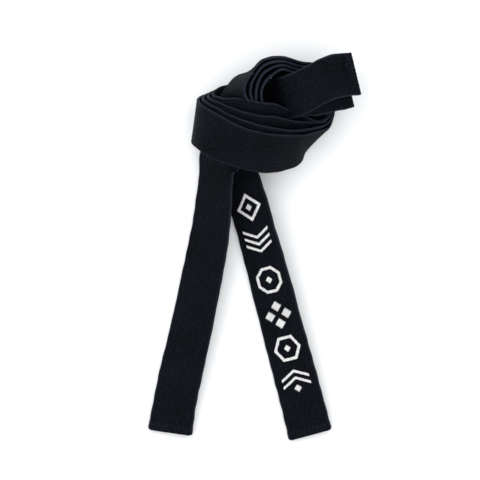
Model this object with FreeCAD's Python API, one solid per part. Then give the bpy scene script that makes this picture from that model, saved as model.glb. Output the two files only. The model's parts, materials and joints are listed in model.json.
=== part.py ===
import FreeCAD, Part
import math
import os
from collections import namedtuple
from FreeCAD import Vector

# Martial arts belt, folded into four plies and tied in one overhand knot, lying on its back.
# Millimetres, +Z up.  The origin is on the resting plane under the middle of the knot.  The two
# loose tails point towards -Y and the doubled end of the bundle points towards +X and +Y.

# ---------------------------------------------------------------- driving dimensions
BELT_WIDTH = 40.0
BELT_THICKNESS = 2.7
PLY_PITCH = 3.4
COVER_WALL = 0.5
CORE_CLEARANCE = 0.2
SEAM_SLIT = 0.4
STEP = 4.0
FINE_STEP = 0.9
SPAN_POINTS = 8
TURN_POINTS = 6
TURN_BULGE = 1.2
JOIN_SKIP = 1

# height added to every pass of the knot, so that its lowest ply just rests on the plane
KNOT_LIFT = 1.9

HINGE_GAP = 0.25
LEFT_HINGES_Y = (-101.0, -148.0, -195.0, -242.0)
RIGHT_HINGES_Y = (-101.0, -133.5, -166.5, -228.0)
LOOP_LENGTH = 27.0
LOWER_LOOP_SETBACK = 4.0
LOOP_GAP = 0.5
HIDDEN_FOLD_SPAN = 6.0

SEAM_INSET = 4.2
THREAD_WIDTH = 0.5
THREAD_SUNK = 0.12
THREAD_PROUD = 0.05
HEM_LENGTH = 8.0
HEM_EXTRA = 0.3
HEM_END_WALL = 0.6

MOTIF_Y = (-84.5, -116.4, -150.4, -182.7, -212.7, -243.6)
MOTIF_REACH = 13.0
MOTIF_STROKE = 3.6
MOTIF_PROUD = 0.35
MITRE_GAP = 0.12

# ---------------------------------------------------------------- the path of the bundle
# azimuth and elevation give the ruling, the direction across the belt from its left edge to its
# right edge.  slide is how far each of the four plies, outermost first, has slipped along the
# ruling.  spread multiplies the pitch between plies where the bundle opens up.
Station = namedtuple("Station", "x y z azimuth elevation slide spread", defaults=((0, 0, 0, 0), 1.0))
FLUSH = (0, 0, 0, 0)


def half_turn(middle, azimuth, radius, advance, elevations, slides, first, last, spread=1.0):
    """Five stations round a fold.  middle is the outermost point of the bend, at its axis height."""
    axis = Vector(math.cos(math.radians(azimuth)), math.sin(math.radians(azimuth)), 0)
    outward = Vector(axis.y, -axis.x, 0) if first < last else Vector(-axis.y, axis.x, 0)
    stations = []
    for i in range(5):
        share = i / 4
        angle = math.radians(first + (last - first) * share)
        point = middle + outward * (radius * (math.cos(angle) - 1)) + axis * (advance * (share - 0.5))
        point.z += radius * math.sin(angle)
        elevation = elevations[0] + (elevations[1] - elevations[0]) * share
        slide = tuple(a + (b - a) * share for a, b in zip(*slides))
        stations.append(Station(point.x, point.y, point.z, azimuth, elevation, slide, spread))
    return stations


RISE = [
    Station(-33, -36, 20, -14, 20, FLUSH, 1.5),
    Station(-27.5, -24, 27.5, -13, 13),
    Station(-23.7, -10, 31.3, -13, 28, FLUSH, 1.05),
    Station(-20.3, 5, 36.7, -13, 41, FLUSH, 1.3),
    Station(-16.5, 20, 41, -14, 64, FLUSH, 1.95),
]
ARCH = [
    Station(-8, 32.5, 41.2, -40, 81, FLUSH, 1.4),
    Station(8, 45, 34, 90, 87, FLUSH, 1.15),
    Station(26, 35, 22.5, 48, 57, FLUSH, 1.15),
]
LEG = [
    Station(37.5, 28, 16.5, 46, 28, FLUSH, 1.4),
    Station(44.5, 16, 11, 44, 9, (0, 0.2, 0.5, 1), 1.3),
]
RIGHT_FOLD = half_turn(
    Vector(43.4, -22.5, 17.6), 54, 10.7, -38, (0, 14), ((0, 0.4, 1, 2), (0, 0.4, 0.8, 1.2)), -90, 90, 1.25
)
FRONT_BAND = [
    Station(8, -36, 38.9, 82, 20, (0, 0.8, 1.6, 2.5), 1.45),
    Station(-10, -31.5, 47.8, 92, 28, (0, 3, 7, 12), 1.2),
    Station(-26, -26.5, 45.6, 96, 23.5, (0, 3, 7, 12), 1.3),
]
LEFT_FOLD = half_turn(
    Vector(-55.7, -6.8, 26.5), 80, 20.8, 24, (14, 0), ((0, 3.5, 7.2, 11.5), (0, 2, 4, 6)), 90, -90, 1.2
)
BACK_BAND = [
    Station(-14, 4, 9.2, 92, 3.5, (0, 1, 3, 4)),
    Station(3, 2.5, 9, 95, -7, (0, 0.5, 3, 3.5), 1.1),
]
END_STRAP = [
    Station(21.5, 12.4, 35.5, 102, 13, (0, 0, 1.5, 2)),
    Station(42, 19.5, 48.8, 105, 9, (0, 0, 1.5, 2)),
    Station(62, 26, 39, 102, 3, (0, 0, 1.5, 2), 1.1),
    Station(84, 32, 33, 98, 0, (0, 0, 1.5, 2), 1.5),
]
PASSES = RISE + ARCH + LEG + RIGHT_FOLD + FRONT_BAND + LEFT_FOLD + BACK_BAND + END_STRAP
BUNDLE = [s._replace(z=s.z + KNOT_LIFT) for s in PASSES]

LEFT_TAIL = [
    Station(-83.6, -290.9, 3.4, -12, 3),
    Station(-75.3, -243, 5.9, -12, 12),
    Station(-64.5, -196, 7.9, -12, 18),
    Station(-54.8, -149, 9.7, -11, 23),
    Station(-46.2, -102, 13.4, -9, 30),
    Station(-43, -72, 16.3, -8, 38),
    Station(-41, -48, 18, -10, 36),
]
RIGHT_TAIL = [
    Station(44.1, -292.2, 3.4, 15, 3),
    Station(31.6, -243, 5.9, 15, 12),
    Station(18.9, -196, 7.9, 15, 18),
    Station(6.6, -149, 9.7, 15, 23),
    Station(-6.4, -102, 12.1, 15, 29),
    Station(-15.5, -72, 12.4, 12, 28),
    Station(-25, -50, 10.9, 4, 20),
]

OUTWARD_PLY = (1.5, 0.5, -0.5, -1.5)
LEFT, RIGHT = 0, 1
FORWARD = 1


def ruling(station):
    azimuth, elevation = math.radians(station.azimuth), math.radians(station.elevation)
    flat = math.cos(elevation)
    return Vector(flat * math.cos(azimuth), flat * math.sin(azimuth), math.sin(elevation))


def spline(points, marks):
    curve = Part.BSplineCurve()
    curve.interpolate(Points=points, Parameters=marks)
    return curve


def run_lengths(points):
    marks = [0.0]
    for a, b in zip(points, points[1:]):
        marks.append(marks[-1] + a.distanceToPoint(b))
    return marks


def eased(marks, values, mark):
    """A smooth value between the stations, with the slope at each taken from its neighbours."""
    last = len(marks) - 1
    i = 0
    while i < last - 1 and mark > marks[i + 1]:
        i += 1
    slopes = []
    for k in (i, i + 1):
        low, high = max(k - 1, 0), min(k + 1, last)
        slopes.append((values[high] - values[low]) / (marks[high] - marks[low]))
    span = marks[i + 1] - marks[i]
    t = (mark - marks[i]) / span
    rise = values[i] + (values[i + 1] - values[i]) * t * t * (3 - 2 * t)
    return rise + span * t * (1 - t) * (slopes[0] * (1 - t) - slopes[1] * t)


def edge_points(stations, ply=None):
    """The belt's left and right edge points every few millimetres, for one ply or for the middle."""
    middles = [Vector(s.x, s.y, s.z) for s in stations]
    marks = run_lengths(middles)
    centre = spline(middles, marks)
    direction = spline([ruling(s) for s in stations], marks)
    slides = [s.slide[ply or 0] for s in stations]
    spreads = [s.spread for s in stations]
    count = math.ceil(marks[-1] / STEP)
    left, right = [], []
    for i in range(count + 1):
        mark = marks[-1] * i / count
        middle, along = centre.getD1(mark)
        across = direction.value(mark).normalize()
        outward = across.cross(along.normalize())
        half = BELT_WIDTH / 2 / outward.Length
        outward.normalize()
        if ply is not None:
            pitch = PLY_PITCH * eased(marks, spreads, mark)
            middle = middle + outward * (OUTWARD_PLY[ply] * pitch) + across * eased(marks, slides, mark)
        left.append(middle - across * half)
        right.append(middle + across * half)
    return left, right


class Strip:
    """One length of belt, ruled between its left and right edge curves and measured along its middle."""

    def __init__(self, left, right, marks=None):
        if marks is None:
            marks = run_lengths([(a + b) * 0.5 for a, b in zip(left, right)])
        self.length = marks[-1]
        self.left = spline(left, marks)
        self.right = spline(right, marks)

    def frame(self, u):
        left, left_along = self.left.getD1(u)
        right, right_along = self.right.getD1(u)
        across = right - left
        width = across.Length
        across.normalize()
        outward = across.cross(left_along + right_along).normalize()
        return left, across, width, outward

    def point(self, u, edge, inset, height):
        """A point at a distance in from one edge, LEFT or RIGHT, and at a height off the middle."""
        left, across, width, outward = self.frame(u)
        from_left = inset if edge == LEFT else width - inset
        return left + across * from_left + outward * height

    def reach(self, y):
        """Where along the strip, counting from its tip, the middle of the belt passes a given y."""
        low, high = 0.0, self.length / 2
        while high - low > 1e-6:
            mark = (low + high) / 2
            left, across, width, _ = self.frame(mark)
            if (left + across * (width / 2)).y < y:
                low = mark
            else:
                high = mark
        return low


def ply_strip(ply):
    left, right = edge_points(BUNDLE, ply)
    tail = {0: LEFT_TAIL, 3: RIGHT_TAIL}.get(ply, [])
    if tail:
        tail_left, tail_right = edge_points(tail)
        left, right = tail_left + left[JOIN_SKIP:], tail_right + right[JOIN_SKIP:]
    return Strip(left, right)


def turned_back(first, first_mark, second, second_mark, span, sign):
    """A strip that runs along one ply for a span, turns over and comes back along the next one."""
    edges = []
    for a, b in ((first.left, second.left), (first.right, second.right)):
        start, along = a.getD1(first_mark)
        end = b.value(second_mark)
        centre = (start + end) * 0.5
        radial = start - centre
        along = along - radial * (along.dot(radial) / radial.dot(radial))
        along = along.normalize() * (sign * radial.Length * TURN_BULGE)
        points = [a.value(first_mark - sign * span * (1 - i / SPAN_POINTS)) for i in range(SPAN_POINTS)]
        for i in range(TURN_POINTS + 1):
            angle = math.pi * i / TURN_POINTS
            points.append(centre + radial * math.cos(angle) + along * math.sin(angle))
        points += [b.value(second_mark - sign * span * (i + 1) / SPAN_POINTS) for i in range(SPAN_POINTS)]
        edges.append(points)
    return Strip(*edges)


# ---------------------------------------------------------------- solids along a strip
def closed_solid(rails, caps):
    count = len(rails)
    faces = [Part.makeRuledSurface(rails[i], rails[(i + 1) % count], FORWARD) for i in range(count)]
    shell = Part.makeShell(faces + caps)
    shell.sewShape()
    solid = Part.Solid(shell)
    if solid.Volume < 0:
        solid.reverse()
    return solid


def sweep(strip, profile, start, end, step=STEP):
    """Solid of constant profile.  Its corners are (edge, inset from that edge, height)."""
    count = max(3, math.ceil((end - start) / step))
    marks = [start + (end - start) * i / count for i in range(count + 1)]
    rows = [[strip.point(u, *corner) for u in marks] for corner in profile]
    rails = [spline(row, marks).toShape() for row in rows]
    caps = []
    for i in (0, -1):
        corners = [row[i] for row in rows]
        caps.append(Part.Face(Part.makePolygon(corners + corners[:1])))
    return closed_solid(rails, caps)


def patch(strip, corners, low, high):
    """A thin four-sided plate lying on the belt.  Corners are (mark, distance from the left edge)."""
    a, b, c, d = corners
    count = 5
    marks = [float(i) for i in range(count + 1)]
    rows = []
    for (start, end), height in (((a, b), low), ((d, c), low), ((d, c), high), ((a, b), high)):
        row = []
        for i in range(count + 1):
            share = i / count
            mark = start[0] + (end[0] - start[0]) * share
            row.append(strip.point(mark, LEFT, start[1] + (end[1] - start[1]) * share, height))
        rows.append(row)
    caps = []
    for i in (0, -1):
        low_edge = Part.makeLine(rows[0][i], rows[1][i])
        high_edge = Part.makeLine(rows[3][i], rows[2][i])
        caps.append(Part.makeRuledSurface(low_edge, high_edge, FORWARD))
    return closed_solid([spline(row, marks).toShape() for row in rows], caps)


def slab_profile(side, half):
    return [(LEFT, side, -half), (RIGHT, side, -half), (RIGHT, side, half), (LEFT, side, half)]


def cover_profile(extra=0.0):
    """The cover is one cloth strip folded round the core, with its seam slit down the left edge."""
    wall, slit = COVER_WALL, SEAM_SLIT / 2
    out = BELT_THICKNESS / 2 + extra
    inner = BELT_THICKNESS / 2 - COVER_WALL
    outside = [(LEFT, 0, slit), (LEFT, 0, out), (RIGHT, 0, out), (RIGHT, 0, -out), (LEFT, 0, -out)]
    seam = [(LEFT, 0, -slit), (LEFT, wall, -slit)]
    inside = [(LEFT, wall, -inner), (RIGHT, wall, -inner), (RIGHT, wall, inner), (LEFT, wall, inner)]
    return outside + seam + inside + [(LEFT, wall, slit)]


def core_profile():
    side = COVER_WALL + CORE_CLEARANCE
    return slab_profile(side, BELT_THICKNESS / 2 - side)


def thread_profile(edge, face):
    low = face * (BELT_THICKNESS / 2 - THREAD_SUNK)
    high = face * (BELT_THICKNESS / 2 + THREAD_PROUD)
    near, far = SEAM_INSET, SEAM_INSET + THREAD_WIDTH
    return [(edge, near, low), (edge, far, low), (edge, far, high), (edge, near, high)]


def nose(strip, mark, side):
    """Half-round end of a length of cover, round the hinge line across the middle of the belt."""
    left, across, width, outward = strip.frame(mark)
    along = outward.cross(across) * side
    radius = BELT_THICKNESS / 2
    top, bottom, tip = left + outward * radius, left - outward * radius, left + along * radius
    arc = Part.Arc(top, tip, bottom).toShape()
    outline = Part.Wire([arc, Part.makeLine(bottom, top)])
    return Part.Face(outline).extrude(across * width)


def cover(strip, start, end, step=STEP):
    return sweep(strip, cover_profile(), start, end, step)


def core(strip, start, end, step=STEP):
    return sweep(strip, core_profile(), start, end, step)


def seams(strip, start, end, step=STEP):
    threads = []
    for edge in (LEFT, RIGHT):
        for face in (1, -1):
            profile = thread_profile(edge, face)
            threads.append(sweep(strip, profile, start + THREAD_WIDTH, end - THREAD_WIDTH, step))
    return Part.makeCompound(threads)


# ---------------------------------------------------------------- embroidery
def ring(sides, outer, turn, stroke=MOTIF_STROKE):
    """A closed band of straight satin strokes, mitred where they meet."""
    quads = []
    inner = outer - stroke / math.cos(math.pi / sides)
    half = math.pi / sides
    for i in range(sides):
        a = math.radians(turn) + 2 * half * i
        b = a + 2 * half
        trim_out, trim_in = MITRE_GAP / outer, MITRE_GAP / inner
        quads.append([
            (outer * math.cos(a + trim_out), outer * math.sin(a + trim_out)),
            (outer * math.cos(b - trim_out), outer * math.sin(b - trim_out)),
            (inner * math.cos(b - trim_in), inner * math.sin(b - trim_in)),
            (inner * math.cos(a + trim_in), inner * math.sin(a + trim_in)),
        ])
    return quads


def block(x, y, reach, turn):
    corners = []
    for i in range(4):
        angle = math.radians(turn + 90 * i)
        corners.append((x + reach * math.cos(angle), y + reach * math.sin(angle)))
    return [corners]


def chevron(y, reach, rise, stroke=MOTIF_STROKE):
    quads = []
    for side in (1, -1):
        inner, outer = side * MITRE_GAP, side * reach
        quads.append([(inner, y + rise), (outer, y), (outer, y - stroke), (inner, y + rise - stroke)])
    return quads


MOTIFS = [
    ring(4, MOTIF_REACH, 0) + block(0, 0, 4.2, 0),
    chevron(12, MOTIF_REACH, -7) + chevron(4.5, MOTIF_REACH, -7) + chevron(-3, MOTIF_REACH, -7),
    ring(8, MOTIF_REACH, 22.5) + block(0, 0, 4.6, 45),
    block(0, 8, 6, 0) + block(0, -8, 6, 0) + block(8, 0, 6, 0) + block(-8, 0, 6, 0),
    ring(6, MOTIF_REACH, 0) + block(0, 0, 4.2, 0),
    chevron(-4.5, MOTIF_REACH, 7) + block(0, -6, 5, 0) + chevron(3.5, MOTIF_REACH, 7),
]


def embroidery(strip, y, quads):
    centre = strip.reach(y)
    low, high = BELT_THICKNESS / 2 - THREAD_SUNK, BELT_THICKNESS / 2 + MOTIF_PROUD
    plates = []
    for quad in quads:
        corners = [(centre + along, BELT_WIDTH / 2 + across) for across, along in quad]
        plates.append(patch(strip, corners, low, high))
    return Part.makeCompound(plates)


# ---------------------------------------------------------------- the pieces
def build_tail(parts, side, strip, hinges_y):
    """Four hinged lengths of one tail, numbered from the knot; returns where the knot's part starts."""
    hinges = [strip.reach(y) for y in hinges_y]
    radius = BELT_THICKNESS / 2
    for i, hinge in enumerate(hinges):
        last = i == len(hinges) - 1
        start = HEM_LENGTH if last else hinges[i + 1]
        end = hinge - radius - HINGE_GAP
        name = "%s_tail_%d" % (side, i + 1)
        cloth = cover(strip, start, end)
        if not last:
            cloth = cloth.fuse(nose(strip, start, -1))
        parts[name + "_cover"] = cloth
        core_start = HEM_END_WALL + CORE_CLEARANCE if last else start + CORE_CLEARANCE
        parts[name + "_core"] = core(strip, core_start, end)
        parts[name + "_stitching"] = seams(strip, start, end)
    pocket = sweep(strip, cover_profile(HEM_EXTRA), HEM_END_WALL, HEM_LENGTH - HINGE_GAP)
    thick = BELT_THICKNESS / 2 + HEM_EXTRA
    wall = sweep(strip, slab_profile(0, thick), 0, HEM_END_WALL)
    parts[side + "_tail_hem"] = pocket.fuse(wall)
    rows = []
    for mark in (HEM_LENGTH - 1.6, HEM_LENGTH - 3.0):
        quad = [(mark, 2.0), (mark, BELT_WIDTH - 2.0)]
        quad += [(mark - THREAD_WIDTH, BELT_WIDTH - 2.0), (mark - THREAD_WIDTH, 2.0)]
        for face in (1, -1):
            rows.append(patch(strip, quad, face * (thick - THREAD_SUNK), face * (thick + THREAD_PROUD)))
    parts[side + "_tail_hem_stitching"] = Part.makeCompound(rows)
    return hinges[0]


def build_ply(parts, ply, strip, start, end, nosed):
    name = "ply_%d" % (ply + 1)
    cloth = cover(strip, start, end)
    if nosed:
        cloth = cloth.fuse(nose(strip, start, -1))
    parts[name + "_cover"] = cloth
    parts[name + "_core"] = core(strip, start + CORE_CLEARANCE, end)
    parts[name + "_stitching"] = seams(strip, start, end)


def build_doubled_piece(parts, name, strip):
    parts[name + "_cover"] = cover(strip, 0, strip.length, FINE_STEP)
    parts[name + "_core"] = core(strip, 0, strip.length, FINE_STEP)
    parts[name + "_stitching"] = seams(strip, 0, strip.length, FINE_STEP)


def build():
    parts = {}
    strips = [ply_strip(i) for i in range(4)]
    fold_end = HIDDEN_FOLD_SPAN + LOOP_GAP
    starts = [0.0, fold_end, fold_end, 0.0]
    starts[0] = build_tail(parts, "left", strips[0], LEFT_HINGES_Y)
    starts[3] = build_tail(parts, "right", strips[3], RIGHT_HINGES_Y)
    for ply, strip in enumerate(strips):
        build_ply(parts, ply, strip, starts[ply], strip.length - LOOP_LENGTH, ply in (0, 3))

    fold = turned_back(strips[1], 0, strips[2], 0, HIDDEN_FOLD_SPAN, -1)
    build_doubled_piece(parts, "hidden_fold", fold)
    for name, upper, lower, setback in (("upper_loop", 3, 2, 0), ("lower_loop", 1, 0, LOWER_LOOP_SETBACK)):
        ends = [strips[i].length - setback for i in (upper, lower)]
        span = LOOP_LENGTH - LOOP_GAP - setback
        loop = turned_back(strips[upper], ends[0], strips[lower], ends[1], span, 1)
        build_doubled_piece(parts, name, loop)

    for i, (y, quads) in enumerate(zip(MOTIF_Y, MOTIFS)):
        parts["motif_%d" % (i + 1)] = embroidery(strips[3], y, quads)
    return parts


if __name__ == "__main__":
    os.makedirs("parts", exist_ok=True)
    for name, shape in build().items():
        shape.exportStep("parts/%s.step" % name)
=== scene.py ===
import heapq
import json
import math

import bpy
import numpy as np
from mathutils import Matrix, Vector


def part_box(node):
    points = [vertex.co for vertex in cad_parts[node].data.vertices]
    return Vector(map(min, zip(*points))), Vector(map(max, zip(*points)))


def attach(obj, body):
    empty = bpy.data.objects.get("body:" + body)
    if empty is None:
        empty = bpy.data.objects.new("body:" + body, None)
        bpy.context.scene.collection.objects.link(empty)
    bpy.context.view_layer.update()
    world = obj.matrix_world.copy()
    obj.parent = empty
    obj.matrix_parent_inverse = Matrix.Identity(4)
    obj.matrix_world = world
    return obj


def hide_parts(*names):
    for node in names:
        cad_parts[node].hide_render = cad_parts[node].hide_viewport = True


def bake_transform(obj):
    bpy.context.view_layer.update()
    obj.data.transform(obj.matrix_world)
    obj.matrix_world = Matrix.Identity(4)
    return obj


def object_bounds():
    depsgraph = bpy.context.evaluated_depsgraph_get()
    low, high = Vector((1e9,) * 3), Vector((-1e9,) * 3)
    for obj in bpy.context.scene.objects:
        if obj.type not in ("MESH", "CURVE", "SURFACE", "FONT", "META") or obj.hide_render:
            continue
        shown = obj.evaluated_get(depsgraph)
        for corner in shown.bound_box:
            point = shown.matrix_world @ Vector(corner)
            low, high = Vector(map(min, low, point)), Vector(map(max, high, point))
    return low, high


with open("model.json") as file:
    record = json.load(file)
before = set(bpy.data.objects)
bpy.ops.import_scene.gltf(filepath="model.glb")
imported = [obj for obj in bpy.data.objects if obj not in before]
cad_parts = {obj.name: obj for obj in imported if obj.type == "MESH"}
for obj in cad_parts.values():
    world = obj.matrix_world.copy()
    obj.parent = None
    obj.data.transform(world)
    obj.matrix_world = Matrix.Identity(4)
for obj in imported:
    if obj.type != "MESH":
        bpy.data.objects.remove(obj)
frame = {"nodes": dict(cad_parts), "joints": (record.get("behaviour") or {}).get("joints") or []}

cad_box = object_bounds()

# The belt is one long strip.  Its path is read back from the seam threads of the CAD nodes, which run
# along both edges of every length.  The cloth, the quilting, the hems and the embroidery are then laid
# along that path.  Lengths are metres unless a name ends in _MM.

MM = 0.001
BELT_WIDTH = 40 * MM
HALF_WIDTH = BELT_WIDTH / 2
HALF_THICKNESS = 1.35 * MM

# the CAD lengths in order from the left tip to the right tip, and those that turn back on themselves
LENGTHS = (
    ["left_tail_%d" % i for i in (4, 3, 2, 1)]
    + ["ply_1", "lower_loop", "ply_2", "hidden_fold", "ply_3", "upper_loop", "ply_4"]
    + ["right_tail_%d" % i for i in (1, 2, 3, 4)]
)
TURNED = ("lower_loop", "hidden_fold", "upper_loop")

# reading the path: the pitch of the points taken along a thread, then along the seam lines and the path
THREAD_PITCH = 2.0 * MM
TURNED_THREAD_PITCH = 0.8 * MM
SEAM_PITCH = 0.4 * MM
PATH_STEP = 0.5 * MM
# how far along, as a share of the length, a point may lie from the point opposite
WINDOW = 0.06
TURNED_WINDOW = 0.3
# the seam threads stop at the hems: the tip lies this much further on, in the direction of the last stretch
TIP_REACH = 8.5 * MM
TIP_POINTS = 20
LAST_STRETCH = 30
# more than any distance in the belt
FAR = 9.0

# spread of each smoothing, in steps of the path; the gain lets the whole of a turn count as turned
PLAIN_SMOOTHING = 8
TURN_SMOOTHING = 2.0
TURN_FADE = 12
TURN_GAIN = 1.6
SHIFT_SMOOTHING = 16
ALONG_SMOOTHING = 10
CALM_SMOOTHING = 30

# centre, reach and shift of each place where the cloth settles
SETTLED_MM = [
    ((16, 12, 32), (14, 14, 15), (0, 0, -7)),
    ((48, -21, 24), (16, 19, 26), (7, -0.5, 0)),
    ((34, -49, 26), (9, 8, 24), (-3, 0.5, 0)),
    ((8, -56, 30), (15, 12, 30), (0, 3.5, 0)),
    ((-60, -25, 36), (14, 26, 30), (1.8, 0, 0)),
    ((-46, 21, 38), (14, 10, 24), (0, -3.5, 0)),
    ((-22, 36, 28), (10, 10, 20), (-1.5, 3, 0)),
    ((-11, 7, 57), (10, 9, 16), (0, 0, -13)),
    ((2, 33, 24), (7, 7, 8), (4, -3.5, 0)),
    ((8, 26, 24), (8, 8, 10), (0, 3, 0)),
]
# centre, reach, direction and share of each place where the plies are drawn together
GATHERED_MM = [((-3.5, 34, 24), (26, 26, 12), (-0.66, 0.75, 0), 0.56)]
# how far each ply slips towards +Y out of the front band at each of these places along X, and the share
# of it by which the ply rises
FAN_X_MM = (-62, -50, -26, 8, 23, 38, 52)
FAN_MM = (
    (0, 0.5, 1, 0, 0, -2, 0),
    (0, 1, 3, 3.3, 1, -2, 0),
    (0, 2, 5, 11.5, 6.6, 0, 0),
    (0, 3, 12, 20.8, 13.4, 4.5, 0),
)
FAN_RISE = 0.4
# the front band is where the belt runs mostly along X, above the first height and in front of the place in Y;
# each pair is the start of the change and its length
FRONT_ALONG = (0.35, 0.25)
FRONT_HEIGHT_MM = (18, 8)
FRONT_Y_MM = (-4, 6)
# it lies in one even sweep between these places along X
CALM_X_MM = (-56, -42, 26, 38)
# how far, in X and Y, the two pairs of plies of the short strap are shifted at each place along X
STRAP_X_MM = (34, 54, 74, 90)
STRAP_MM = {
    "lower": ((0, 0), (-3, -5.4), (-4, -6), (-4, -6)),
    "upper": ((0, 0), (0, 5.4), (0, 6), (2.5, -2.5)),
}
STRAP_PLIES = (
    ("ply_1", "lower"), ("lower_loop", "lower"), ("ply_2", "lower"),
    ("ply_3", "upper"), ("upper_loop", "upper"), ("ply_4", "upper"),
)
# at each place along X, only what lies above this height belongs to the strap
STRAP_FLOOR_X_MM = (34, 50, 62)
STRAP_FLOOR_MM = (33, 30, 10)
STRAP_FADE_MM = 4

# the cloth
ALONG_STEP = 0.9 * MM
TURN_STEP = 0.5 * MM
TURN_LOOK_AHEAD = 12
EDGE_RADIUS = 1.3 * MM
CORNER_RADIUS = 3 * MM
# width of the band at each side edge that is lightened, partly as rubbed cloth and partly as a painted
# highlight
WORN_AND_HIGHLIT_EDGE = 2.4 * MM
# the texture of the lower face is taken this far to the side of the upper one's
LOWER_FACE_UV = 0.06
EDGE_WANDER = 0.28 * MM
SLOW_SWELL = 0.1 * MM
PILLOW_SWELL = 0.05 * MM
PILLOW_PITCH = 7.3 * MM
WAVE_COUNT = 7
WAVE_PITCH_MM = (11, 75)
# about the height of the highest crest of that many waves added together
WAVE_CREST = 2.4
ROW_COUNT = 10
ROW_INSET = 3.4 * MM
GROOVE_DEPTH = 0.34 * MM
GROOVE_WIDTH = 0.75 * MM

# the stitches
STITCH_PITCH = 3.1 * MM
STITCH_LENGTH = 2.35 * MM
STITCH_TILT = 0.05 * MM
THREAD_RADIUS = 0.24 * MM
STITCH_HEIGHT = HALF_THICKNESS - GROOVE_DEPTH + THREAD_RADIUS * 0.55
RING_SIDES = 6
# place along a stitch, share of its radius, and rise off the cloth as a share of its diameter
STITCH_RINGS = np.array([
    (-0.5, 0.3, -0.3), (-0.36, 0.85, 0.0), (0, 1.0, 0.12), (0.36, 0.85, 0.0), (0.5, 0.3, -0.3)])

# the hems
HEM_LENGTH = 8.5 * MM
HEM_PROUD = 0.3 * MM
# its two rows of stitches, from its inner edge
HEM_ROWS = (1.5 * MM, 3.0 * MM)
HEM_STITCH_COUNT = 13
HEM_STITCH_SUNK = 0.02 * MM
HEM_STITCH_PITCH = 2.6 * MM
HEM_STITCH_LENGTH = 2.0 * MM
HEM_STITCH_MARGIN = 2.4 * MM

# where the cloth is cut, and how far the span recorded as a bend reaches on either side of a hinge
BEND_REACH = 8 * MM
TAIL_ROOT = 12 * MM
LOOP_REACH = 11 * MM
# a hinge is looked for this far beyond both ends of its child
HINGE_SEARCH = 4 * MM

# the embroidery
MOTIF_REACH = 13 * MM
MOTIF_STROKE = 2.5 * MM
# the motifs lie on this last stretch of the belt
MOTIF_STRETCH = 260 * MM
SATIN_PITCH = 0.42 * MM
SATIN_RADIUS = 0.27 * MM
SATIN_RAGGED = 0.12 * MM
SATIN_RAGGED_SPREAD = 0.13 * MM
SATIN_LIFT = 0.16 * MM
SATIN_LIFT_SPREAD = 0.03 * MM

satin_random = np.random.default_rng(11)
quilting_random = np.random.default_rng(29)


# ---------------------------------------------------------------- the path, read from the CAD frame
def node_mesh(name):
    """The points of a CAD node, each once, and its edges."""
    mesh = frame["nodes"][name].data
    points = np.zeros(len(mesh.vertices) * 3, np.float32)
    mesh.vertices.foreach_get("co", points)
    edges = np.zeros(len(mesh.edges) * 2, np.int32)
    mesh.edges.foreach_get("vertices", edges)
    points = points.reshape(-1, 3).astype(float)
    _, first, same = np.unique(np.round(points, 6), axis=0, return_index=True, return_inverse=True)
    return points[first], same.reshape(-1)[edges].reshape(-1, 2)


def walk(neighbours, points, start):
    """Distance along the mesh edges from one vertex to every other vertex of its island."""
    reached = {start: 0.0}
    queue = [(0.0, start)]
    while queue:
        so_far, a = heapq.heappop(queue)
        if so_far > reached[a]:
            continue
        for b in neighbours[a]:
            total = so_far + float(np.linalg.norm(points[a] - points[b]))
            if total < reached.get(b, math.inf):
                reached[b] = total
                heapq.heappush(queue, (total, b))
    return reached


def thread_lines(node, step):
    """The middle line of each seam thread in a stitching node, as ordered points."""
    points, edges = node_mesh(node)
    neighbours = [[] for _ in points]
    for a, b in edges:
        if a != b:
            neighbours[a].append(b)
            neighbours[b].append(a)
    lines = []
    seen = set()
    for first in range(len(points)):
        if first in seen:
            continue
        island = walk(neighbours, points, first)
        seen.update(island)
        far = max(island, key=island.get)
        reached = walk(neighbours, points, far)
        members = np.array(list(reached))
        place = np.round(np.array([reached[m] for m in members]) / step).astype(int)
        line = [points[members[place == k]].mean(0) for k in np.unique(place)]
        lines.append(np.array(line))
    return lines


def distance(a, b):
    return float(np.linalg.norm(a - b))


def marks_along(line):
    """The distance of every point of a line from its start."""
    return np.concatenate([[0], np.cumsum(np.linalg.norm(np.diff(line, axis=0), axis=1))])


def evenly(line, count):
    """The line as a given number of points, all equally far apart."""
    marks = marks_along(line)
    at = np.linspace(0, marks[-1], count)
    return np.stack([np.interp(at, marks, line[:, k]) for k in range(3)], 1)


def matched(a, b, window):
    """For every point of a, the nearest point of b that lies about as far along."""
    share_a = np.linspace(0, 1, len(a))
    share_b = np.linspace(0, 1, len(b))
    gap = np.linalg.norm(a[:, None] - b[None], axis=2)
    gap[np.abs(share_a[:, None] - share_b[None]) > window] = FAR
    return b[gap.argmin(1)]


def mean_gap(a, b):
    return np.linalg.norm(a[:, None] - b[None], axis=2).min(1).mean()


def started(line, miss):
    """The line, turned round if its last point misses the start by less than its first point does."""
    return line[::-1] if miss(line[-1]) < miss(line[0]) else line


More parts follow.
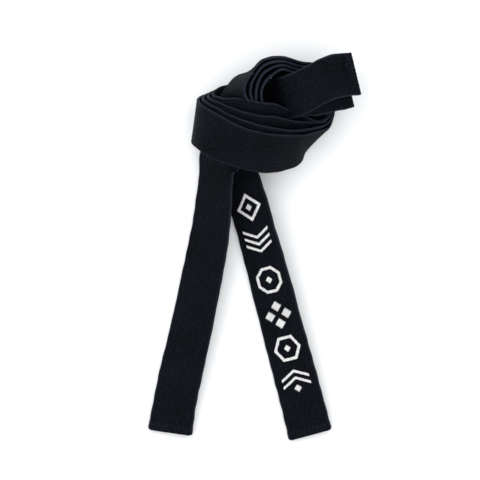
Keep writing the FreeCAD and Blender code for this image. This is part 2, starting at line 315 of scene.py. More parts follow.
def edge_pair(node, before):
    """The two seam lines of one length, each midway between its top and bottom threads.

    They run on from the two ends of the length before, or start at the low end in Y, left line first."""
    turned = node in TURNED
    lines = thread_lines(node + "_stitching", TURNED_THREAD_PITCH if turned else THREAD_PITCH)
    count = int(np.linalg.norm(np.diff(lines[0], axis=0), axis=1).sum() / SEAM_PITCH)
    lines = [evenly(line, count) for line in lines]
    partner = min((1, 2, 3), key=lambda k: mean_gap(lines[0], lines[k]))
    others = [k for k in (1, 2, 3) if k != partner]
    window = TURNED_WINDOW if turned else WINDOW
    sides = [[lines[a], lines[b]] for a, b in ((0, partner), others)]

    def miss(point):
        return point[1] if before is None else min(distance(point, end) for end in before)

    sides = [[started(line, miss) for line in side] for side in sides]
    if before is None:
        swap = sides[0][0][:, 0].mean() > sides[1][0][:, 0].mean()
    else:
        swap = distance(sides[0][0][0], before[0]) > distance(sides[1][0][0], before[0])
    if swap:
        sides.reverse()
    left, right = [(top + matched(top, bottom, window)) / 2 for top, bottom in sides]
    return left, matched(left, right, window)


def smoothed(values, sigma):
    """The rows of values, each blended with its neighbours over a bell of sigma rows."""
    reach = int(3 * sigma) + 1
    kernel = np.exp(-0.5 * (np.arange(-reach, reach + 1) / sigma) ** 2)
    kernel /= kernel.sum()
    padded = np.concatenate([
        2 * values[:1] - values[reach:0:-1], values, 2 * values[-1:] - values[-2:-reach - 2:-1]])
    return np.stack([np.convolve(padded[:, k], kernel, "valid") for k in range(values.shape[1])], 1)


def beyond(line, order):
    """Points that carry a seam line straight on to the tip: order 1 starts at the tip, -1 at the thread."""
    along = (line[0] - line[LAST_STRETCH]) / np.linalg.norm(line[0] - line[LAST_STRETCH])
    steps = np.linspace(TIP_REACH, SEAM_PITCH, TIP_POINTS)[::order]
    return line[0] + along * steps[:, None]


def nearness(points, centre, reach):
    """1 at the centre, fading to 0 over about the reach along each axis."""
    away = (points / MM - np.array(centre)) / np.array(reach)
    return np.exp(-(away ** 2).sum(1))[:, None]


def settled(points):
    """The cloth sinks, pulls in and gathers a little more than the frame at these places."""
    for centre, reach, shift in SETTLED_MM:
        points = points + nearness(points, centre, reach) * np.array(shift) * MM
    for centre, reach, direction, share in GATHERED_MM:
        direction = np.array(direction)
        away = (np.array(centre) * MM - points) @ direction
        points = points + nearness(points, centre, reach) * share * away[:, None] * direction
    return points


def shifted(both, shift):
    """Both edges moved by a smoothed shift in millimetres."""
    shift = smoothed(shift, SHIFT_SMOOTHING) * MM
    return both + np.concatenate([shift, shift], 1)


def fanned(both, owner):
    """In the front band the inner plies have slipped out, one beyond the other, like a hand of cards."""
    middle = (both[:, :3] + both[:, 3:]) / 2
    along = smoothed(np.gradient(middle, axis=0), ALONG_SMOOTHING)
    along /= np.linalg.norm(along, axis=1)[:, None]
    x, y, z = (middle / MM).T
    front = np.clip((np.abs(along[:, 0]) - FRONT_ALONG[0]) / FRONT_ALONG[1], 0, 1)
    front *= (np.clip((z - FRONT_HEIGHT_MM[0]) / FRONT_HEIGHT_MM[1], 0, 1)
              * np.clip((FRONT_Y_MM[0] - y) / FRONT_Y_MM[1], 0, 1))
    calm = smoothed((front * np.interp(x, CALM_X_MM, (0, 1, 1, 0)))[:, None], SHIFT_SMOOTHING)
    both = both + (smoothed(both, CALM_SMOOTHING) - both) * calm
    shift = np.zeros((len(both), 3))
    for ply, slips in enumerate(FAN_MM):
        slip = np.interp(x, FAN_X_MM, slips) * front
        slip[owner != LENGTHS.index("ply_%d" % (ply + 1))] = 0
        shift[:, 1] += slip
        shift[:, 2] += slip * FAN_RISE
    return shifted(both, shift)


def spread(both, owner):
    """The plies of the short strap lie a little apart at its folded end."""
    x, _, z = ((both[:, :3] + both[:, 3:]) / 2 / MM).T
    above = np.clip((z - np.interp(x, STRAP_FLOOR_X_MM, STRAP_FLOOR_MM)) / STRAP_FADE_MM, 0, 1)
    shift = np.zeros((len(both), 3))
    for name, pair in STRAP_PLIES:
        mine = owner == LENGTHS.index(name)
        for axis in (0, 1):
            shifts = [amount[axis] for amount in STRAP_MM[pair]]
            shift[mine, axis] = (np.interp(x, STRAP_X_MM, shifts) * above)[mine]
    return shifted(both, shift)


def belt_path():
    """Left and right edge of the whole belt at even steps, and where each CAD length lies along it."""
    lefts = []
    rights = []
    owner = []
    before = None
    for index, name in enumerate(LENGTHS):
        left, right = edge_pair(name, before)
        before = (left[-1], right[-1])
        lefts.append(left)
        rights.append(right)
        owner += [index] * len(left)
    lefts = [beyond(lefts[0], 1)] + lefts + [beyond(lefts[-1][::-1], -1)]
    rights = [beyond(rights[0], 1)] + rights + [beyond(rights[-1][::-1], -1)]
    owner = [0] * len(lefts[0]) + owner + [len(LENGTHS) - 1] * len(lefts[-1])
    both = np.concatenate([np.concatenate(lefts), np.concatenate(rights)], 1)
    marks = marks_along((both[:, :3] + both[:, 3:]) / 2)
    keep = np.concatenate([[True], np.diff(marks) > 0.01 * MM])
    both = both[keep]
    owner = np.array(owner)[keep]
    marks = marks[keep]
    even = np.arange(0, marks[-1], PATH_STEP)
    both = np.stack([np.interp(even, marks, both[:, k]) for k in range(6)], 1)
    owner = owner[np.clip(np.searchsorted(marks, even), 0, len(owner) - 1)]
    turning = np.isin(owner, [LENGTHS.index(n) for n in TURNED]).astype(float)[:, None]
    turning = np.clip(smoothed(turning, TURN_FADE) * TURN_GAIN, 0, 1)
    both = smoothed(both, PLAIN_SMOOTHING) * (1 - turning) + smoothed(both, TURN_SMOOTHING) * turning
    both = np.concatenate([settled(both[:, :3]), settled(both[:, 3:])], 1)
    return spread(fanned(both, owner), owner), owner


path, owner = belt_path()


class Belt:
    """The surface of the belt: any place along it, across it and off it gives a point in space."""

    def __init__(self, path):
        left, right = path[:, :3], path[:, 3:]
        self.middle = (left + right) / 2
        across = right - left
        self.across = across / np.linalg.norm(across, axis=1)[:, None]
        along = np.gradient(self.middle, axis=0)
        outward = np.cross(self.across, along)
        self.outward = outward / np.linalg.norm(outward, axis=1)[:, None]
        self.marks = np.arange(len(path)) * PATH_STEP
        self.length = self.marks[-1]

    def sample(self, table, u):
        return np.stack([np.interp(u, self.marks, table[:, k]) for k in range(3)], -1)

    def point(self, u, v, height):
        """u along the belt, v across it from the middle, height off the middle layer."""
        u, v, height = np.broadcast_arrays(u, v, height)
        flat = u.reshape(-1)
        place = self.sample(self.middle, flat)
        place += self.sample(self.across, flat) * v.reshape(-1, 1)
        place += self.sample(self.outward, flat) * height.reshape(-1, 1)
        return place.reshape(u.shape + (3,))

    def owned(self, name):
        """Start and end of one CAD length along the belt."""
        members = np.nonzero(owner == LENGTHS.index(name))[0]
        return self.marks[members[0]], self.marks[members[-1]]


belt = Belt(path)
rows = np.linspace(-HALF_WIDTH + ROW_INSET, HALF_WIDTH - ROW_INSET, ROW_COUNT)


# ---------------------------------------------------------------- materials
# The scales of noise and waves are per metre of belt; colours are linear.
def new_material(name):
    material = bpy.data.materials.new(name)
    material.use_nodes = True
    tree = material.node_tree
    shader = tree.nodes["Principled BSDF"]
    return material, tree, shader


def link(tree, a, b):
    tree.links.new(a, b)


def scaled_uv(tree, along, across):
    """Place on the belt in metres, stretched along and across it."""
    uv = tree.nodes.new("ShaderNodeUVMap")
    uv.uv_map = "belt"
    mapping = tree.nodes.new("ShaderNodeMapping")
    mapping.inputs["Scale"].default_value = (along, across, 1)
    link(tree, uv.outputs["UV"], mapping.inputs["Vector"])
    return mapping.outputs["Vector"]


def noise(tree, vector, scale, detail=3.0, rough=0.55):
    node = tree.nodes.new("ShaderNodeTexNoise")
    node.inputs["Scale"].default_value = scale
    node.inputs["Detail"].default_value = detail
    node.inputs["Roughness"].default_value = rough
    link(tree, vector, node.inputs["Vector"])
    return node.outputs["Fac"]


def waves(tree, vector, scale, direction, distortion=0.0):
    node = tree.nodes.new("ShaderNodeTexWave")
    node.bands_direction = direction
    node.inputs["Scale"].default_value = scale
    node.inputs["Distortion"].default_value = distortion
    link(tree, vector, node.inputs["Vector"])
    return node.outputs["Fac"]


def maths(tree, operation, a, b):
    node = tree.nodes.new("ShaderNodeMath")
    node.operation = operation
    for socket, value in zip(node.inputs, (a, b)):
        if isinstance(value, (int, float)):
            socket.default_value = value
        else:
            link(tree, value, socket)
    return node.outputs[0]


def ramp(tree, factor, stops):
    node = tree.nodes.new("ShaderNodeValToRGB")
    while len(node.color_ramp.elements) < len(stops):
        node.color_ramp.elements.new(0.5)
    for element, (position, colour) in zip(node.color_ramp.elements, stops):
        element.position = position
        element.color = colour + (1,)
    link(tree, factor, node.inputs["Fac"])
    return node.outputs["Color"]


def mixed(tree, factor, a, b):
    node = tree.nodes.new("ShaderNodeMix")
    node.data_type = "RGBA"
    for socket, value in zip((node.inputs[0], node.inputs[6], node.inputs[7]), (factor, a, b)):
        if isinstance(value, tuple):
            socket.default_value = value + (1,)
        elif isinstance(value, (int, float)):
            socket.default_value = value
        else:
            link(tree, value, socket)
    return node.outputs[2]


def bump(tree, shader, height, strength, distance):
    node = tree.nodes.new("ShaderNodeBump")
    node.inputs["Strength"].default_value = strength
    node.inputs["Distance"].default_value = distance
    link(tree, height, node.inputs["Height"])
    link(tree, node.outputs["Normal"], shader.inputs["Normal"])


def attribute(tree, name):
    node = tree.nodes.new("ShaderNodeAttribute")
    node.attribute_name = name
    return node.outputs["Fac"]


def cloth_material(name, dark, light, worn_and_highlight):
    """Tightly woven cotton drill: twill ribs, soft sheen, slow colour drift, edges lightened partly by
    rubbing and partly by a painted highlight, and painted shade in the stitched grooves.
    """
    material, tree, shader = new_material(name)
    flat = scaled_uv(tree, 1, 1)
    drift = noise(tree, flat, 28, 4)
    fibre = noise(tree, scaled_uv(tree, 1, 0.35), 900, 3, 0.7)
    colour = ramp(tree, drift, [(0.3, dark), (0.72, light)])
    speckle = maths(tree, "MULTIPLY", maths(tree, "SUBTRACT", fibre, 0.5), 1.2)
    colour = mixed(tree, maths(tree, "MAXIMUM", speckle, 0.0), colour, worn_and_highlight)
    # the side edges are lightened: partly rubbed cloth, partly a painted highlight on the ridges
    wear_and_highlight = maths(tree, "MULTIPLY", attribute(tree, "edge"), noise(tree, flat, 160, 4, 0.7))
    colour = mixed(tree, maths(tree, "MULTIPLY", wear_and_highlight, 0.75), colour, worn_and_highlight)
    # painted shade: the stitched grooves are darkened in the colour
    groove_shade = maths(tree, "MULTIPLY", attribute(tree, "groove"), 0.55)
    colour = mixed(tree, groove_shade, colour, (0.001, 0.001, 0.0015))
    link(tree, colour, shader.inputs["Base Color"])
    rough = maths(tree, "MULTIPLY_ADD", drift, 0.2)
    rough.node.inputs[2].default_value = 0.46
    link(tree, rough, shader.inputs["Roughness"])
    shader.inputs["Specular IOR Level"].default_value = 0.03
    shader.inputs["Sheen Weight"].default_value = 0.02
    shader.inputs["Sheen Roughness"].default_value = 0.38
    shader.inputs["Sheen Tint"].default_value = (0.42, 0.5, 0.68, 1)
    twill = waves(tree, flat, 620, "DIAGONAL", 0.6)
    weft = waves(tree, flat, 480, "X", 0.4)
    weave = maths(tree, "ADD", maths(tree, "MULTIPLY", twill, 0.7), maths(tree, "MULTIPLY", weft, 0.4))
    crease = maths(tree, "MULTIPLY", noise(tree, scaled_uv(tree, 1, 0.25), 210, 4, 0.6), 2.2)
    bump(tree, shader, maths(tree, "ADD", weave, crease), 0.5, 0.22 * MM)
    return material


def thread_material(name, colour, sheen, shine, rough):
    """Twisted thread: fine ply lines across each stitch, and every stitch a little different."""
    material, tree, shader = new_material(name)
    tone = attribute(tree, "tone")
    darker = tuple(c * 0.72 for c in colour)
    tint = mixed(tree, tone, darker, colour)
    flat = scaled_uv(tree, 1, 1)
    fuzz = noise(tree, flat, 1500, 2, 0.7)
    tint = mixed(tree, maths(tree, "MULTIPLY", fuzz, 0.18), tint, tuple(c * 0.4 for c in colour))
    link(tree, tint, shader.inputs["Base Color"])
    shader.inputs["Roughness"].default_value = rough
    shader.inputs["Specular IOR Level"].default_value = shine
    shader.inputs["Sheen Weight"].default_value = sheen
    shader.inputs["Sheen Roughness"].default_value = 0.3
    shader.inputs["Sheen Tint"].default_value = (0.7, 0.76, 0.88, 1)
    bump(tree, shader, waves(tree, flat, 1400, "DIAGONAL", 0.5), 0.35, 0.1 * MM)
    return material


# the last colour of each cloth is that of its pale fibres and of its lightened edges, where it is partly
# rubbed cloth and partly a painted highlight
CLOTH = cloth_material(
    "black cotton drill", (0.0014, 0.0016, 0.0026), (0.0038, 0.0044, 0.0074), (0.036, 0.044, 0.064))
HEM_CLOTH = cloth_material(
    "hem cotton", (0.0025, 0.0028, 0.0044), (0.006, 0.0068, 0.0105), (0.04, 0.048, 0.068))
THREAD = thread_material("quilting thread", (0.006, 0.007, 0.011), 0.04, 0.12, 0.5)
WHITE_THREAD = thread_material("white satin thread", (0.86, 0.86, 0.84), 0.3, 0.25, 0.38)


# ---------------------------------------------------------------- building meshes
def make_object(name, points, faces, material, uv, attributes):
    """A smooth mesh with its place on the belt as texture coordinates and a value per point for each name."""
    mesh = bpy.data.meshes.new(name)
    mesh.from_pydata(points.reshape(-1, 3).tolist(), [], faces)
    mesh.shade_smooth()
    loops = np.zeros(len(mesh.loops), np.int32)
    mesh.loops.foreach_get("vertex_index", loops)
    layer = mesh.uv_layers.new(name="belt")
    layer.data.foreach_set("uv", uv.reshape(-1, 2)[loops].astype(np.float32).reshape(-1))
    for key, values in attributes.items():
        data = mesh.attributes.new(key, "FLOAT", "POINT")
        data.data.foreach_set("value", values.reshape(-1).astype(np.float32))
    mesh.materials.append(material)
    obj = bpy.data.objects.new(name, mesh)
    bpy.context.scene.collection.objects.link(obj)
    return obj


def tube_faces(ring_count, ring_size):
    """The sides of a tube of rings, each ring's points listed in turn."""
    k, j = np.meshgrid(np.arange(ring_count - 1), np.arange(ring_size), indexing="ij")
    a = k * ring_size + j
    b = k * ring_size + (j + 1) % ring_size
    return np.stack([a, b, b + ring_size, a + ring_size], -1).reshape(-1, 4).tolist()


def across_places():
    """Places across one face of the belt, closer together at the edges and in the stitched grooves."""
    places = [HALF_WIDTH - d * MM for d in (0.0, 0.08, 0.3, 0.7, 1.3, 2.2)]
    places = [-p for p in places] + places
    for row in rows:
        places += [row + d * MM for d in (-0.9, -0.4, 0, 0.4, 0.9)]
    for a, b in zip(rows, rows[1:]):
        places.append((a + b) / 2)
    return np.array(sorted(places))


ACROSS = across_places()


def grooves(v):
    """1 in the middle of each stitched row, fading to 0 between the rows."""
    return np.exp(-((v[:, None] - rows[None]) / GROOVE_WIDTH) ** 2).max(1)


def slow_wave(u, seed, size):
    """A gentle irregular wave along the belt."""
    wave_random = np.random.default_rng(seed)
    total = np.zeros_like(u)
    for _ in range(WAVE_COUNT):
        pitch = wave_random.uniform(*WAVE_PITCH_MM) * MM
        phase = wave_random.uniform(0, 6.28)
        total += np.sin(u * 2 * math.pi / pitch + phase) * wave_random.uniform(0.4, 1)
    return total * size / WAVE_CREST


def face_height(u, v, face):
    """Height of one face off the middle layer: rounded edges, stitched grooves, puckered pillows."""
    inset = np.clip(HALF_WIDTH - np.abs(v), 0, EDGE_RADIUS)
    rounded = np.sqrt(np.clip(1 - (1 - inset / EDGE_RADIUS) ** 2, 0, 1))
    depth = grooves(v)
    phase = np.round((v - rows[0]) / (rows[1] - rows[0])) % 2 * math.pi
    pucker = 0.5 + 0.5 * np.cos(2 * math.pi * u[:, None] / STITCH_PITCH + phase[None])
    height = HALF_THICKNESS * rounded[None] - GROOVE_DEPTH * depth[None] * (0.72 + 0.28 * pucker)
    padding = rounded[None] * (1 - depth[None])
    height = height + SLOW_SWELL * padding * slow_wave(u, 5 + face, 1.0)[:, None]
    scattered = 23 * np.sin(v[None] * 211)
    pillow = np.sin(2 * math.pi * u[:, None] / PILLOW_PITCH + scattered + face)
    height = height + PILLOW_SWELL * padding * pillow
    return face * height


def along_places(start, end):
    """Places along the belt from start to end, closer together where it turns back on itself."""
    places = [start]
    while places[-1] < end:
        index = min(int(places[-1] / PATH_STEP), len(owner) - 1)
        ahead = min(index + TURN_LOOK_AHEAD, len(owner) - 1)
        turned = LENGTHS[owner[index]] in TURNED or LENGTHS[owner[ahead]] in TURNED
        places.append(places[-1] + (TURN_STEP if turned else ALONG_STEP))
    places[-1] = end
    return np.array(places)


def corner(from_tip):
    """Share of the full width that is left near a tip with rounded corners."""
    inset = np.clip(CORNER_RADIUS - from_tip, 0, CORNER_RADIUS)
    cut = CORNER_RADIUS - np.sqrt(CORNER_RADIUS ** 2 - inset ** 2)
    return 1 - cut / HALF_WIDTH


def cloth_piece(name, start, end, material=CLOTH, proud=0.0, tip=None):
    """One length of padded strip, closed at both ends; proud is how much thicker it is on each side."""
    u = along_places(start, end)
    top = ACROSS
    bottom = ACROSS[::-1][1:-1]
    v = np.concatenate([top, bottom])
    height = np.concatenate([face_height(u, top, 1), face_height(u, bottom, -1)], 1)
    facing = np.concatenate([np.ones(len(top)), -np.ones(len(bottom))])
    height = height + facing * proud * np.clip((HALF_WIDTH - np.abs(v)) / MM, 0, 1)[None]
    wander = slow_wave(u, 3, EDGE_WANDER)[:, None] * np.abs(v)[None] / HALF_WIDTH
    sideways = v[None] * (1 + 2 * proud / BELT_WIDTH) + wander * np.sign(v)[None]
    if tip is not None:
        sideways = sideways * corner(np.abs(u - tip))[:, None]
    points = belt.point(u[:, None], sideways, height)
    ring = len(v)
    faces = tube_faces(len(u), ring)
    faces.append(list(range(ring))[::-1])
    faces.append(list(range((len(u) - 1) * ring, len(u) * ring)))
    across_uv = np.concatenate([top, bottom + LOWER_FACE_UV])
    uv = np.stack(np.broadcast_arrays(u[:, None], across_uv[None]), -1)
    # 1 along the side edges of the belt, where the colour is lightened by rubbing and by a painted highlight
    edge = np.clip(1 - (HALF_WIDTH - np.abs(v)) / WORN_AND_HIGHLIT_EDGE, 0, 1) ** 2
    edge = np.broadcast_to(edge[None], (len(u), ring))
    # mask of the painted shade that darkens the stitched grooves
    groove = np.broadcast_to(grooves(v)[None] ** 2, (len(u), ring))
    obj = make_object(name, points, faces, material, uv, {"edge": edge, "groove": groove})
    sharp = obj.data.attributes.new("sharp_edge", "BOOLEAN", "EDGE")
    pairs = np.zeros(len(obj.data.edges) * 2, np.int32)
    obj.data.edges.foreach_get("vertices", pairs)
    rings = pairs.reshape(-1, 2) // ring
    at_end = np.isin(rings[:, 0], (0, len(u) - 1))
    sharp.data.foreach_set("value", at_end & (rings[:, 0] == rings[:, 1]))
    return obj


def thread_piece(name, threads, material):
    """Many short threads lying on the belt.  Each is (u0, v0, u1, v1, height, radius, tone)."""
    if len(threads) == 0:
        return None
    t = np.asarray(threads, float)
    share = STITCH_RINGS[:, 0] + 0.5
    u = t[:, None, 0] * (1 - share) + t[:, None, 2] * share
    v = t[:, None, 1] * (1 - share) + t[:, None, 3] * share
    radius = t[:, None, 5] * STITCH_RINGS[:, 1]
    lift = t[:, None, 4] + np.sign(t[:, None, 4]) * t[:, None, 5] * STITCH_RINGS[:, 2] * 2
    du = t[:, 2] - t[:, 0]
    dv = t[:, 3] - t[:, 1]
    size = np.hypot(du, dv)
    # going round backwards turns the faces of each thread outwards
    angle = -np.arange(RING_SIDES) * 2 * math.pi / RING_SIDES
    sideways = radius[:, :, None] * np.cos(angle)
    uu = u[:, :, None] + sideways * (-dv / size)[:, None, None]
    vv = v[:, :, None] + sideways * (du / size)[:, None, None]
    hh = lift[:, :, None] + radius[:, :, None] * np.sin(angle)
    points = belt.point(uu, vv, hh)
    ring_total = len(STITCH_RINGS) * RING_SIDES
    one = np.array(tube_faces(len(STITCH_RINGS), RING_SIDES))
    quads = (one[None] + (np.arange(len(t)) * ring_total)[:, None, None]).reshape(-1, 4).tolist()
    first = np.arange(RING_SIDES)[::-1]
    last = np.arange(ring_total - RING_SIDES, ring_total)
    for start in range(0, len(t) * ring_total, ring_total):
        quads.append((first + start).tolist())
        quads.append((last + start).tolist())
    tone = np.broadcast_to(t[:, None, None, 6], uu.shape)
    uv = np.stack([uu, vv], -1)
    return make_object(name, points, quads, material, uv, {"tone": tone})


def quilting(start, end):
    """Running stitches in every groove on both faces, in brick order."""
    threads = []
    for index, row in enumerate(rows):
        for face in (1, -1):
            shift = (index % 2 + (face < 0)) * STITCH_PITCH / 2
            first = math.ceil((start - shift) / STITCH_PITCH)
            last = math.floor((end - shift - STITCH_LENGTH) / STITCH_PITCH)
            middle = np.arange(first, last + 1) * STITCH_PITCH + shift + STITCH_LENGTH / 2
            count = len(middle)
            half = STITCH_LENGTH / 2 * quilting_random.uniform(0.92, 1.06, count)
            tilt = quilting_random.normal(0, STITCH_TILT, (2, count))
            height = np.full(count, face * STITCH_HEIGHT)
            tone = quilting_random.uniform(0, 1, count)
            radius = np.full(count, THREAD_RADIUS)
            threads.append(np.stack(
                [middle - half, row + tilt[0], middle + half, row + tilt[1], height, radius, tone], 1))
    return np.concatenate(threads)


# ---------------------------------------------------------------- cutting the belt where bodies meet
def joint_mark(name):
    """Where a hinge crosses the belt: the place nearest to the joint's point, in or near its child."""
    joint = next(j for j in frame["joints"] if j["name"] == name)
    child = belt.owned(joint["child"])
    near = (belt.marks > child[0] - HINGE_SEARCH) & (belt.marks < child[1] + HINGE_SEARCH)
    gap = np.linalg.norm(belt.middle - np.array(joint["pos_m"]), axis=1)
    gap[~near] = FAR
    return float(belt.marks[gap.argmin()])


def belt_cuts():
    """(name, start, end, body or joined bodies, start and end of the bend) for every length of cloth."""
    cuts = []

    def tail(side, towards_tip):
        hinges = [joint_mark("%s_tail_hinge_%d" % (side, i)) for i in (1, 2, 3, 4)]
        tip = HEM_LENGTH if side == "left" else belt.length - HEM_LENGTH
        limits = [hinges[0] - towards_tip * TAIL_ROOT]
        limits += [(a + b) / 2 for a, b in zip(hinges, hinges[1:])] + [tip]
        for i, hinge in enumerate(hinges):
            parent = "knot" if i == 0 else "%s_tail_%d" % (side, i)
            child = "%s_tail_%d" % (side, i + 1)
            bend = (hinge - towards_tip * BEND_REACH, hinge + towards_tip * BEND_REACH)
            cuts.append((child, *sorted(limits[i:i + 2]), (parent, child), bend))
        return limits[0]

    root_left = tail("left", -1)
    root_right = tail("right", 1)
    inner = [root_left]
    for name in TURNED:
        start, end = belt.owned(name)
        if name == "hidden_fold":
            cuts.append((name, start, end, ("knot",), None))
            inner += [start, end]
        else:
            bend = (start - BEND_REACH, start + BEND_REACH)
            start -= LOOP_REACH
            end += LOOP_REACH
            cuts.append((name, start, end, ("knot", name), bend))
            inner += [start, end]
    inner.append(root_right)
    for index in range(4):
        cuts.append(("ply_%d" % (index + 1), inner[2 * index], inner[2 * index + 1], ("knot",), None))
    return cuts


def fasten(obj, bodies, bend):
    """Let a piece follow one body; a piece between two bodies only has its transform baked into its points,
    and the two places of the bend are not used.
    """
    if obj is None:
        return
    if len(bodies) == 1:
        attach(obj, bodies[0])
    else:
        start, end = (belt.point(np.array(u), 0.0, 0.0) for u in bend)
        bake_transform(obj)


# ---------------------------------------------------------------- embroidery
def ring(sides, outer, turn):
    """The strokes of a closed band; each is its outer edge, then its inner edge back again."""
    inner = outer - MOTIF_STROKE / math.cos(math.pi / sides)
    quads = []
    for i in range(sides):
        a = math.radians(turn) + 2 * math.pi * i / sides
        b = a + 2 * math.pi / sides
        corners = ((outer, a), (outer, b), (inner, b), (inner, a))
        quads.append([(r * math.cos(t), r * math.sin(t)) for r, t in corners])
    return quads


def block(x, y, reach):
    """One stroke that fills a square standing on its corner; lengths in millimetres."""
    x, y, reach = x * MM, y * MM, reach * MM
    return [[(x + reach, y), (x, y + reach), (x - reach, y), (x, y - reach)]]


def chevron(y, rise):
    """Two strokes that meet in the middle, a rise above their outer ends; lengths in millimetres."""
    y, rise = y * MM, rise * MM
    quads = []
    for side in (1, -1):
        reach = side * MOTIF_REACH
        quads.append([(0, y + rise), (reach, y), (reach, y - MOTIF_STROKE), (0, y + rise - MOTIF_STROKE)])
    return quads


MOTIFS = [
    ring(4, MOTIF_REACH, 0) + block(0, 0, 3.4),
    chevron(12, -7) + chevron(5.5, -7) + chevron(-1, -7),
    ring(8, MOTIF_REACH, 22.5) + block(0, 0, 3.4),
    block(0, 8, 5) + block(0, -8, 5) + block(8, 0, 5) + block(-8, 0, 5),
    ring(6, MOTIF_REACH, 0) + block(0, 0, 3.4),
    chevron(-1, 7) + chevron(5.5, 7) + block(0, -5, 3.6),
]


def satin(quad, up):
    """Threads laid side by side across one stroke, on the face that looks up."""
    a, b, c, d = (np.array(p) for p in quad)
    count = max(2, int(np.linalg.norm(b - a) / SATIN_PITCH))
    share = (np.arange(count) + 0.5) / count
    outer = a + (b - a) * share[:, None]
    inner = d + (c - d) * share[:, None]
    reach = (outer - inner) / np.linalg.norm(outer - inner, axis=1)[:, None]
    outer = outer + reach * satin_random.normal(SATIN_RAGGED, SATIN_RAGGED_SPREAD, (count, 1))
    inner = inner - reach * satin_random.normal(SATIN_RAGGED, SATIN_RAGGED_SPREAD, (count, 1))
    tone = satin_random.uniform(0, 1, count)
    height = up * (HALF_THICKNESS + satin_random.normal(SATIN_LIFT, SATIN_LIFT_SPREAD, count))
    radius = SATIN_RADIUS * satin_random.uniform(0.9, 1.08, count)
    return np.stack([-outer[:, 1], outer[:, 0], -inner[:, 1], inner[:, 0], height, radius, tone], 1)


def motif_threads(index):
    """The threads of one motif, placed on the right tail where its CAD node lies."""
    low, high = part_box("motif_%d" % (index + 1))
    place = (np.array(low) + np.array(high)) / 2
    gap = np.linalg.norm(belt.middle - place, axis=1)
    gap[belt.marks < belt.length - MOTIF_STRETCH] = FAR
    nearest = int(gap.argmin())
    up = 1.0 if belt.outward[nearest][2] > 0 else -1.0
    mirrored = 1.0 if belt.across[nearest][0] > 0 else -1.0
    threads = np.concatenate([satin(quad, up) for quad in MOTIFS[index]])
    threads[:, [1, 3]] *= mirrored
    threads[:, [0, 2]] += belt.marks[nearest]
    return threads


# ---------------------------------------------------------------- hems
def hem(side):
    """The turned-in end: a thicker fold of cloth with two rows of stitching across it."""
    tip = 0.0 if side == "left" else belt.length
    inward = 1 if side == "left" else -1
    start, end = sorted((tip, tip + inward * HEM_LENGTH))
    cloth = cloth_piece(side + "_tail_hem_cloth", start, end, HEM_CLOTH, HEM_PROUD, tip)
    threads = []
    for row in HEM_ROWS:
        u = tip + inward * (HEM_LENGTH - row)
        for face in (1, -1):
            height = face * (HALF_THICKNESS + HEM_PROUD - HEM_STITCH_SUNK)
            for k in range(HEM_STITCH_COUNT):
                v = -HALF_WIDTH + HEM_STITCH_MARGIN + k * HEM_STITCH_PITCH
                tone = satin_random.uniform()
                threads.append((u, v, u, v + HEM_STITCH_LENGTH, height, THREAD_RADIUS, tone))
    stitches = thread_piece(side + "_tail_hem_stitches", threads, THREAD)
    body = side + "_tail_4"
    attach(cloth, body)
    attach(stitches, body)
    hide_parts(side + "_tail_hem")
    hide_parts(side + "_tail_hem_stitching")


# ---------------------------------------------------------------- the whole belt
def within(threads, start, end):
    """The threads whose middle lies between two places along the belt."""
    middle = (threads[:, 0] + threads[:, 2]) / 2
    return threads[(middle >= start) & (middle < end)]


def build_belt():
    satin_threads = [motif_threads(i) for i in range(len(MOTIFS))]
    stitches = quilting(HEM_LENGTH, belt.length - HEM_LENGTH)
    for name, start, end, bodies, bend in belt_cuts():
        cloth = cloth_piece(name + "_cloth", start, end)
        thread = thread_piece(name + "_quilting", within(stitches, start, end), THREAD)
        fasten(cloth, bodies, bend)
        fasten(thread, bodies, bend)
        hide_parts(name + "_cover", name + "_core")
        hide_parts(name + "_stitching")
        for index, threads in enumerate(satin_threads):
            part = thread_piece("%s_motif_%d" % (name, index + 1), within(threads, start, end),
                                WHITE_THREAD)
            fasten(part, bodies, bend)
            if part is not None:
                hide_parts("motif_%d" % (index + 1))
    hem("left")
    hem("right")


build_belt()


# ---------------------------------------------------------------- floor, light and camera
FLOOR_REACH = 3.0
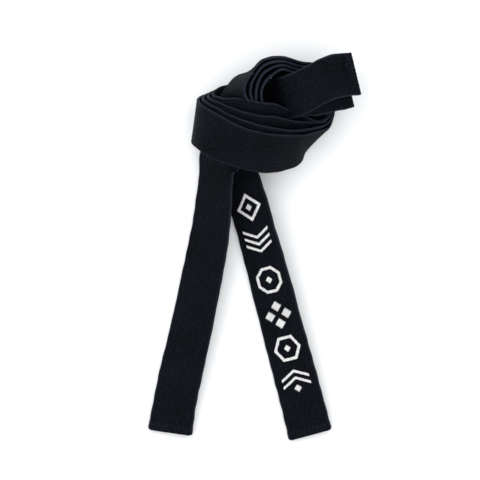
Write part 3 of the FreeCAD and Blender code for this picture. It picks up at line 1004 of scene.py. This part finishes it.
# chosen so that the belt fills the picture as it fills the photograph
VIEW_WIDTH = 0.4364
CAMERA_X = -0.0200
CAMERA_Y = -0.1145
CAMERA_CLEARANCE = 1.0


def stage():
    """A pale floor and an even, slightly cool sky."""
    mesh = bpy.data.meshes.new("floor")
    corners = [(x * FLOOR_REACH, y * FLOOR_REACH, 0) for x, y in ((-1, -1), (1, -1), (1, 1), (-1, 1))]
    mesh.from_pydata(corners, [], [(0, 1, 2, 3)])
    floor = bpy.data.objects.new("floor", mesh)
    bpy.context.scene.collection.objects.link(floor)
    material, _, shader = new_material("pale floor")
    shader.inputs["Base Color"].default_value = (0.93, 0.93, 0.93, 1)
    shader.inputs["Roughness"].default_value = 0.9
    mesh.materials.append(material)
    world = bpy.data.worlds.new("studio")
    world.use_nodes = True
    world.node_tree.nodes["Background"].inputs["Color"].default_value = (0.97, 0.985, 1.0, 1)
    world.node_tree.nodes["Background"].inputs["Strength"].default_value = 1.35
    bpy.context.scene.world = world
    bpy.context.scene.view_settings.view_transform = "Standard"


def soft_light(name, place, facing, size, power):
    """A square lamp at a place, turned to face along a direction."""
    data = bpy.data.lights.new(name, "AREA")
    data.size = size
    data.energy = power
    light = bpy.data.objects.new(name, data)
    bpy.context.scene.collection.objects.link(light)
    light.location = place
    tilt = math.acos(-facing[2] / np.linalg.norm(facing))
    light.rotation_euler = (tilt, 0, math.atan2(-facing[0], facing[1]))


def camera():
    """Straight down."""
    data = bpy.data.cameras.new("camera")
    data.type = "ORTHO"
    data.ortho_scale = VIEW_WIDTH
    obj = bpy.data.objects.new("camera", data)
    obj.location = (CAMERA_X, CAMERA_Y, cad_box[1][2] + CAMERA_CLEARANCE)
    bpy.context.scene.collection.objects.link(obj)
    bpy.context.scene.camera = obj


stage()
# both lamps are turned past the belt, so that only their soft edges reach it
soft_light("key", (-0.5, 0.45, 0.9), (-0.5, 0.55, -0.9), 0.7, 6)
soft_light("fill", (0.8, -0.3, 0.8), (0.8, -0.2, -0.8), 0.9, 4)
camera()
